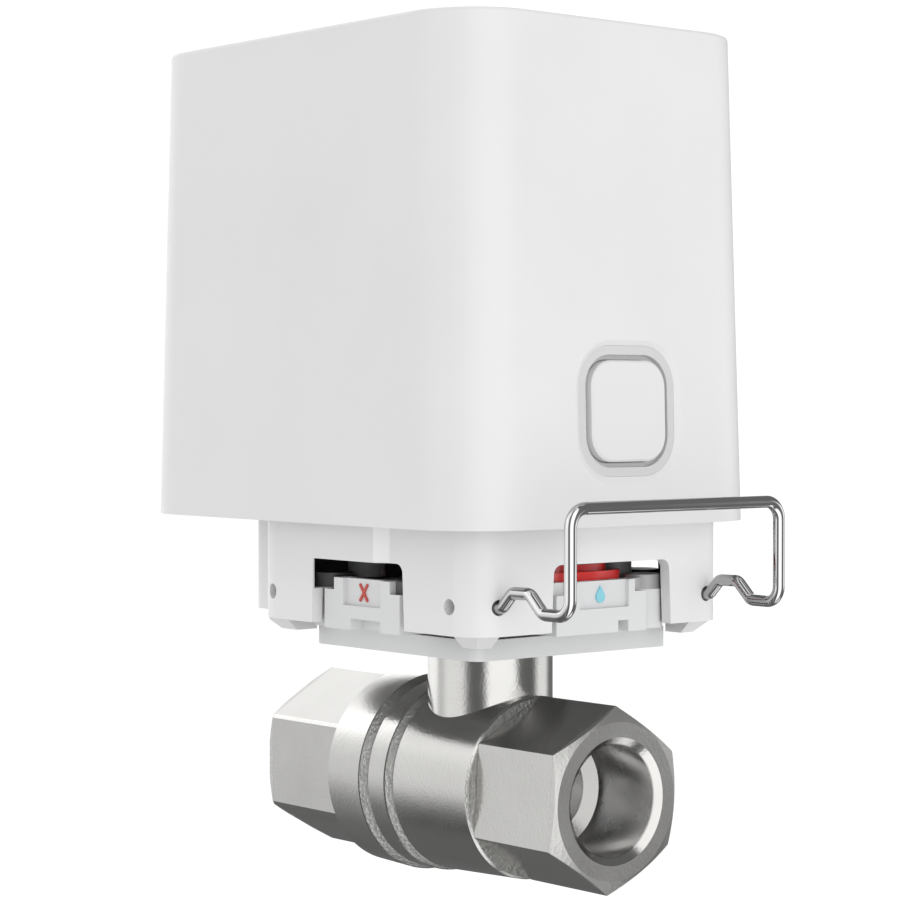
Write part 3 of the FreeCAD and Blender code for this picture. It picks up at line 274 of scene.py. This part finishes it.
def nickel(name, grooves, rough=0.17):
    """Satin nickel plate over machined brass: soft clouds of gloss, fine pits, ring-shaped tool marks on the end faces,
    and a pebbled as-cast surface in the places given as (y0, y1, r0, r1)."""
    col = (0.60, 0.595, 0.58)
    m = Mat(name, col, rough, 1.0)
    x, y, z = m.xyz()
    r2 = m.math("ADD", m.math("MULTIPLY", x, x), m.math("MULTIPLY", z, z))
    r = m.math("SQRT", r2)
    mask = None
    for (y0, y1, r0, r1) in grooves:
        a = m.math("MULTIPLY", m.math("GREATER_THAN", y, y0 * MM), m.math("LESS_THAN", y, y1 * MM))
        a = m.math("MULTIPLY", a, m.math("MULTIPLY", m.math("GREATER_THAN", r, r0 * MM), m.math("LESS_THAN", r, r1 * MM)))
        mask = a if mask is None else m.math("MAXIMUM", mask, a)
    broad = m.noise(45.0, 5.0, 0.6)
    base = m.ramp(broad, [(0.25, tint(col, 0.95)), (0.75, tint(col, 1.05))])
    cast_n = m.voronoi(1500.0)
    cast_f = m.noise(2100.0, 4.0, 0.65)
    # the grooves are painted darker: partly the duller as-cast surface, partly painted shade in the recess
    base = m.mix(m.math("MULTIPLY", mask, 0.6), base, (0.40, 0.40, 0.385))
    nx, ny, nz = m.xyz(m.geo.outputs["Normal"])
    # painted light: the bored walls are satin and painted brighter; painted shade: the shoulder at the end of each bore
    # is painted darker
    bore_painted_light = m.math("LESS_THAN", r, 9.45 * MM)
    axial = m.math("GREATER_THAN", m.math("ABSOLUTE", ny), 0.5)
    shoulder_painted_shade = m.math("MULTIPLY", bore_painted_light, axial)
    bore_painted_light = m.math("MULTIPLY", bore_painted_light, m.math("SUBTRACT", 1.0, axial))
    base = m.mix(bore_painted_light, base, (0.87, 0.865, 0.86))
    base = m.mix(shoulder_painted_shade, base, (0.40, 0.395, 0.385))
    m.color(base)
    ends = m.math("MAXIMUM", m.math("LESS_THAN", y, -31.5 * MM), m.math("GREATER_THAN", y, 45.3 * MM))
    face = m.math("MULTIPLY", ends, m.math("GREATER_THAN", m.math("ABSOLUTE", ny), 0.9))
    # the turned bevel round each end keeps a coarser, blasted look
    rim = m.math("MAXIMUM", m.math("LESS_THAN", y, -30.44 * MM), m.math("GREATER_THAN", y, 44.6 * MM))
    rim = m.math("MULTIPLY", rim, m.math("GREATER_THAN", r, 10.6 * MM))
    cloud = m.noise(150.0, 4.0, 0.6)
    rr = m.rng(cloud, rough - 0.04, rough + 0.06, 0.3, 0.7)
    rr = m.math("ADD", rr, m.math("MULTIPLY", mask, 0.28))
    rr = m.math("ADD", rr, m.math("MULTIPLY", bore_painted_light, 0.07))
    rr = m.math("ADD", rr, m.math("MULTIPLY", m.math("MAXIMUM", face, rim), 0.25))
    m.rough(rr)
    grain = m.noise(2300.0, 2.0, 0.55)
    m.bump(grain, 0.85, 0.000026)
    m.bump(m.math("MULTIPLY", rim, m.math("ADD", cast_n, cast_f)), 0.7, 0.00005)
    ripple = m.noise(420.0, 2.0, 0.5)
    m.bump(ripple, 0.35, 0.00003)
    # machined end faces: rings round the axis, only where the surface faces along Y
    ring = m.math("SINE", m.math("MULTIPLY", r, 24000.0))
    m.bump(m.math("MULTIPLY", face, ring), 0.30, 0.0000025)
    hgt = m.math("MULTIPLY", mask, m.math("ADD", cast_n, cast_f))
    m.bump(hgt, 0.9, 0.00012)
    return m


M["nickel_body"] = nickel("nickel_body", [(6.95, 8.43, 0, 16.62), (-12.2, -11.9, 13.2, 15.6)])
M["nickel_adapter"] = nickel("nickel_adapter", [(13.3, 14.72, 0, 17.3)])
M["clip_wire"] = metal("clip_wire", (0.72, 0.72, 0.72), 0.055, 0.03, 0.0, "Y", 900.0, 0.0000012)
M["chrome_ball"] = metal("chrome_ball", (0.78, 0.78, 0.78), 0.06, 0.02, grain_h=0.0000008)
M["stem_steel"] = metal("stem_steel", (0.50, 0.49, 0.46), 0.28, 0.05, 0.3, "Z")
M["brass_nut"] = metal("brass_nut", (0.63, 0.45, 0.18), 0.25, 0.08, 0.3, "Z")
M["brass_pinion"] = metal("brass_pinion", (0.66, 0.48, 0.20), 0.22, 0.06)
M["spring_steel"] = metal("spring_steel", (0.42, 0.42, 0.43), 0.3, 0.06)
M["screw_steel"] = metal("screw_steel", (0.50, 0.50, 0.51), 0.3, 0.06)
M["shaft_steel"] = metal("shaft_steel", (0.55, 0.55, 0.55), 0.18, 0.04, 0.3, "Z")
M["motor_can"] = metal("motor_can", (0.55, 0.55, 0.55), 0.25, 0.05, 0.2, "Z", 500.0)
M["contact_metal"] = metal("contact_metal", (0.70, 0.68, 0.62), 0.2, 0.05)


def board_mat():
    m = Mat("board", (0.012, 0.09, 0.04), 0.35)
    x, y, z = m.xyz()
    tr = m.voronoi(420.0, feature="F2")
    lines = m.ramp(tr, [(0.30, (0.010, 0.085, 0.036)), (0.36, (0.016, 0.13, 0.055)), (0.42, (0.010, 0.085, 0.036))])
    m.color(lines)
    m.bump(m.noise(900.0, 2.0), 0.2, 0.00001)
    m.b.inputs["Coat Weight"].default_value = 0.4
    return m


M["board"] = board_mat()


def cell_mat():
    m = Mat("cell_wrap", (0.05, 0.14, 0.24), 0.25)
    x, y, z = m.xyz()
    band = m.wave(30.0, "Z", distortion=0.0, detail=0.0)
    m.color(m.ramp(band, [(0.35, (0.04, 0.12, 0.22)), (0.45, (0.55, 0.56, 0.57))], "CONSTANT"))
    m.bump(m.noise(500.0, 3.0), 0.2, 0.00002)
    m.b.inputs["Coat Weight"].default_value = 0.3
    return m


M["cell_wrap"] = cell_mat()

slots = {s["node"]: s["material_slot"] for s in frame["record"]["subparts"]}
for name, ob in NODES.items():
    ob.data.materials.clear()
    ob.data.materials.append(M[slots[name]].m)


# ------------------------------------------------------------------ camera
cam_data = bpy.data.cameras.new("camera")
cam = bpy.data.objects.new("camera", cam_data)
bpy.context.collection.objects.link(cam)
YAW, PITCH = math.radians(39.85), math.radians(1.20)
d = Vector((math.sin(YAW) * math.cos(PITCH), math.cos(YAW) * math.cos(PITCH), -math.sin(PITCH)))
rt = Vector((math.cos(YAW), -math.sin(YAW), 0))
up = rt.cross(d)
K = 1.08 * MM
TGT = (Vector((0, 0, 52.88)) + rt * -6.59) * K
LOC = TGT - d * 413.3 * K
cam.matrix_world = Matrix(((rt.x, up.x, -d.x, LOC.x), (rt.y, up.y, -d.y, LOC.y), (rt.z, up.z, -d.z, LOC.z), (0, 0, 0, 1)))
cam_data.sensor_width = 36.0
cam_data.lens = 2584.0 / 900.0 * 36.0
cam_data.clip_start = 0.01
cam_data.clip_end = 20.0
bpy.context.scene.camera = cam

# ------------------------------------------------------------------ floor, world, lights
bm = bmesh.new()
bmesh.ops.create_grid(bm, x_segments=2, y_segments=2, size=6.0)
me = bpy.data.meshes.new("floor")
bm.to_mesh(me)
bm.free()
floor = bpy.data.objects.new("floor", me)
floor.location = (0, 0, -0.26)
bpy.context.collection.objects.link(floor)
fm = bpy.data.materials.new("floor")
fm.use_nodes = True
ft = fm.node_tree
ft.nodes.clear()
fo = ft.nodes.new("ShaderNodeOutputMaterial")
fe = ft.nodes.new("ShaderNodeEmission")
fe.inputs["Color"].default_value = (1, 1, 1, 1)
fe.inputs["Strength"].default_value = 1.05
ft.links.new(fe.outputs[0], fo.inputs["Surface"])
me.materials.append(fm)
floor.visible_diffuse = False
floor.visible_glossy = False
floor.visible_transmission = False
floor.visible_shadow = False

world = bpy.data.worlds.new("studio")
bpy.context.scene.world = world
world.use_nodes = True
if hasattr(world, "cycles") and hasattr(world.cycles, "sampling_method"):
    world.cycles.sampling_method = "NONE"
wt = world.node_tree
wt.nodes.clear()


def wnode(kind, **kw):
    n = wt.nodes.new(kind)
    for k, v in kw.items():
        setattr(n, k, v)
    return n


def wmath(op, a, b=None):
    n = wnode("ShaderNodeMath", operation=op)
    for i, v in enumerate((a, b)):
        if v is None:
            continue
        if hasattr(v, "links"):
            wt.links.new(v, n.inputs[i])
        else:
            n.inputs[i].default_value = v
    return n.outputs[0]


def wcurve(src, table, lo, hi, top=2.0):
    """A brightness read from a table over lo..hi of the input."""
    f = wmath("DIVIDE", wmath("SUBTRACT", src, lo), hi - lo)
    n = wnode("ShaderNodeValToRGB")
    wt.links.new(f, n.inputs["Fac"])
    e = n.color_ramp.elements
    while len(e) > 1:
        e.remove(e[-1])
    for i, (a, v) in enumerate(table):
        c = (v / top, v / top, v / top, 1)
        pos = (a - lo) / (hi - lo)
        if i == 0:
            e[0].position = pos
            e[0].color = c
        else:
            e.new(pos).color = c
    g = wnode("ShaderNodeSeparateColor")
    wt.links.new(n.outputs["Color"], g.inputs[0])
    return wmath("MULTIPLY", g.outputs[0], top)


def wlerp(f, a, b):
    """a where f is 0, b where f is 1"""
    return wmath("ADD", wmath("MULTIPLY", wmath("SUBTRACT", 1.0, f), a), wmath("MULTIPLY", f, b))


tc = wnode("ShaderNodeTexCoord")
sep = wnode("ShaderNodeSeparateXYZ")
wt.links.new(tc.outputs["Generated"], sep.inputs[0])
# azimuth of the studio in degrees: 0 towards the front left corner of the head, positive towards the outlet's right
back = Vector((-d.x, -d.y)).normalized()
rgt = Vector((rt.x, rt.y))
along = wmath("ADD", wmath("MULTIPLY", sep.outputs[0], back.x), wmath("MULTIPLY", sep.outputs[1], back.y))
side = wmath("ADD", wmath("MULTIPLY", sep.outputs[0], rgt.x), wmath("MULTIPLY", sep.outputs[1], rgt.y))
AZ = wmath("MULTIPLY", wmath("ARCTAN2", side, along), 180.0 / math.pi)
EL = sep.outputs[2]

# soft light for matt surfaces: large diffusers behind on the left and in front, a pale table below
DIFF_AZ = [(-180, 0.12), (-168, 0.12), (-160, 2.6), (-152, 2.6), (-144, 2.09), (-136, 0.81), (-128, 1.16), (-118, 0.95), (-100, 0.88), (-50, 0.81), (-20, 0.95), (20, 1.45),
           (50, 1.19), (70, 1.04), (90, 0.96), (110, 0.86), (125, 0.83), (140, 0.91), (152, 1.62), (160, 2.28), (168, 0.12), (180, 0.12)]
DIFF_EL = [(-1, 0.55), (-0.75, 0.8), (-0.45, 1.2), (-0.1, 1.3), (0.3, 1.22), (0.75, 0.95), (1, 0.6)]
diff = wmath("MULTIPLY", wcurve(AZ, DIFF_AZ, -180, 180, 3.0), wcurve(EL, DIFF_EL, -1, 1))
diff = wmath("MULTIPLY", diff, 0.835)

# what polished metal mirrors: white cards with black flags between them
GLOSS_AZ = [(-180, 1.5), (-117, 1.5), (-111, 0.95), (-106, 0.82), (-99, 0.86), (-88, 1.24), (-52, 1.24), (-42, 0.27), (-36, 0.16), (-14, 0.16),
            (-4, 1.5), (44, 1.5), (54, 0.22), (60, 0.19), (84, 0.16), (88, 0.28), (93, 0.8), (99, 1.25), (122, 1.2), (136, 0.2), (166, 0.2), (178, 1.5), (180, 1.5)]
LEFT_EL = [(-1, 0.1), (-0.64, 0.11), (-0.585, 0.12), (-0.54, 0.15), (-0.485, 0.2), (-0.42, 0.28), (-0.35, 0.43), (-0.27, 0.62), (-0.19, 0.84), (-0.11, 0.94),
           (0.0, 1.0), (0.2, 1.04), (0.32, 1.03), (0.42, 0.95), (0.55, 0.87), (0.8, 0.9), (0.92, 0.6), (1, 0.6)]
UP_AZ = [(-180, 0), (-140, 0), (-120, 1), (-96, 1), (-82, 0), (180, 0)]
UP_EL = [(-1, 1), (0.14, 1), (0.3, 1.15), (0.376, 1.38), (0.44, 1.6), (0.52, 1.5), (0.6, 1.3), (0.75, 1), (1, 1)]
BACK_AZ = [(-180, 1), (-158, 1), (-140, 0), (150, 0), (165, 1), (180, 1)]
BACK_EL = [(-1, 0), (-0.22, 0), (-0.06, 1), (1, 1)]
RIGHT_EL = [(-1, 0.6), (-0.85, 1.0), (0.8, 1.0), (0.92, 0.6), (1, 0.6)]
RIGHT = [(-180, 0), (-60, 0), (-10, 1), (150, 1), (165, 0), (180, 0)]
FLAG_AZ = [(-180, 0), (52, 0), (62, 1), (150, 1), (165, 0), (180, 0)]
FLAG_EL = [(-1, 0), (-0.72, 0), (-0.68, 1), (-0.3, 1), (-0.12, 0), (0.12, 0), (0.25, 1), (0.8, 1), (0.95, 0), (1, 0)]
gl = wcurve(AZ, GLOSS_AZ, -180, 180)
gl = wmath("MULTIPLY", gl, wlerp(wcurve(AZ, RIGHT, -180, 180), wcurve(EL, LEFT_EL, -1, 1), wcurve(EL, RIGHT_EL, -1, 1)))
flag = wmath("MULTIPLY", wcurve(AZ, FLAG_AZ, -180, 180), wcurve(EL, FLAG_EL, -1, 1))
gl = wlerp(flag, gl, 0.16)
gl = wmath("MULTIPLY", gl, wlerp(wcurve(AZ, UP_AZ, -180, 180), 1.0, wcurve(EL, UP_EL, -1, 1)))
table = wmath("MULTIPLY", wcurve(AZ, BACK_AZ, -180, 180), wmath("SUBTRACT", 1.0, wcurve(EL, BACK_EL, -1, 1)))
gl = wlerp(table, gl, 0.15)

lp = wnode("ShaderNodeLightPath")
# the undersides that the metal mirrors stay dark
LOW = [(-1, 0.12), (-0.15, 0.12), (0.1, 1), (1, 1)]
dim = wlerp(wmath("MINIMUM", lp.outputs["Glossy Depth"], 1.0), 1.0, wcurve(EL, LOW, -1, 1))
lit = wlerp(lp.outputs["Is Diffuse Ray"], gl, wmath("MULTIPLY", diff, dim))
level = wlerp(lp.outputs["Is Camera Ray"], lit, 1.05)
bg = wnode("ShaderNodeBackground")
bg.inputs["Color"].default_value = (1, 1, 1, 1)
wt.links.new(level, bg.inputs["Strength"])
wo = wnode("ShaderNodeOutputWorld")
wt.links.new(bg.outputs[0], wo.inputs["Surface"])

scene = bpy.context.scene
scene.view_settings.view_transform = "Standard"
scene.view_settings.look = "None"
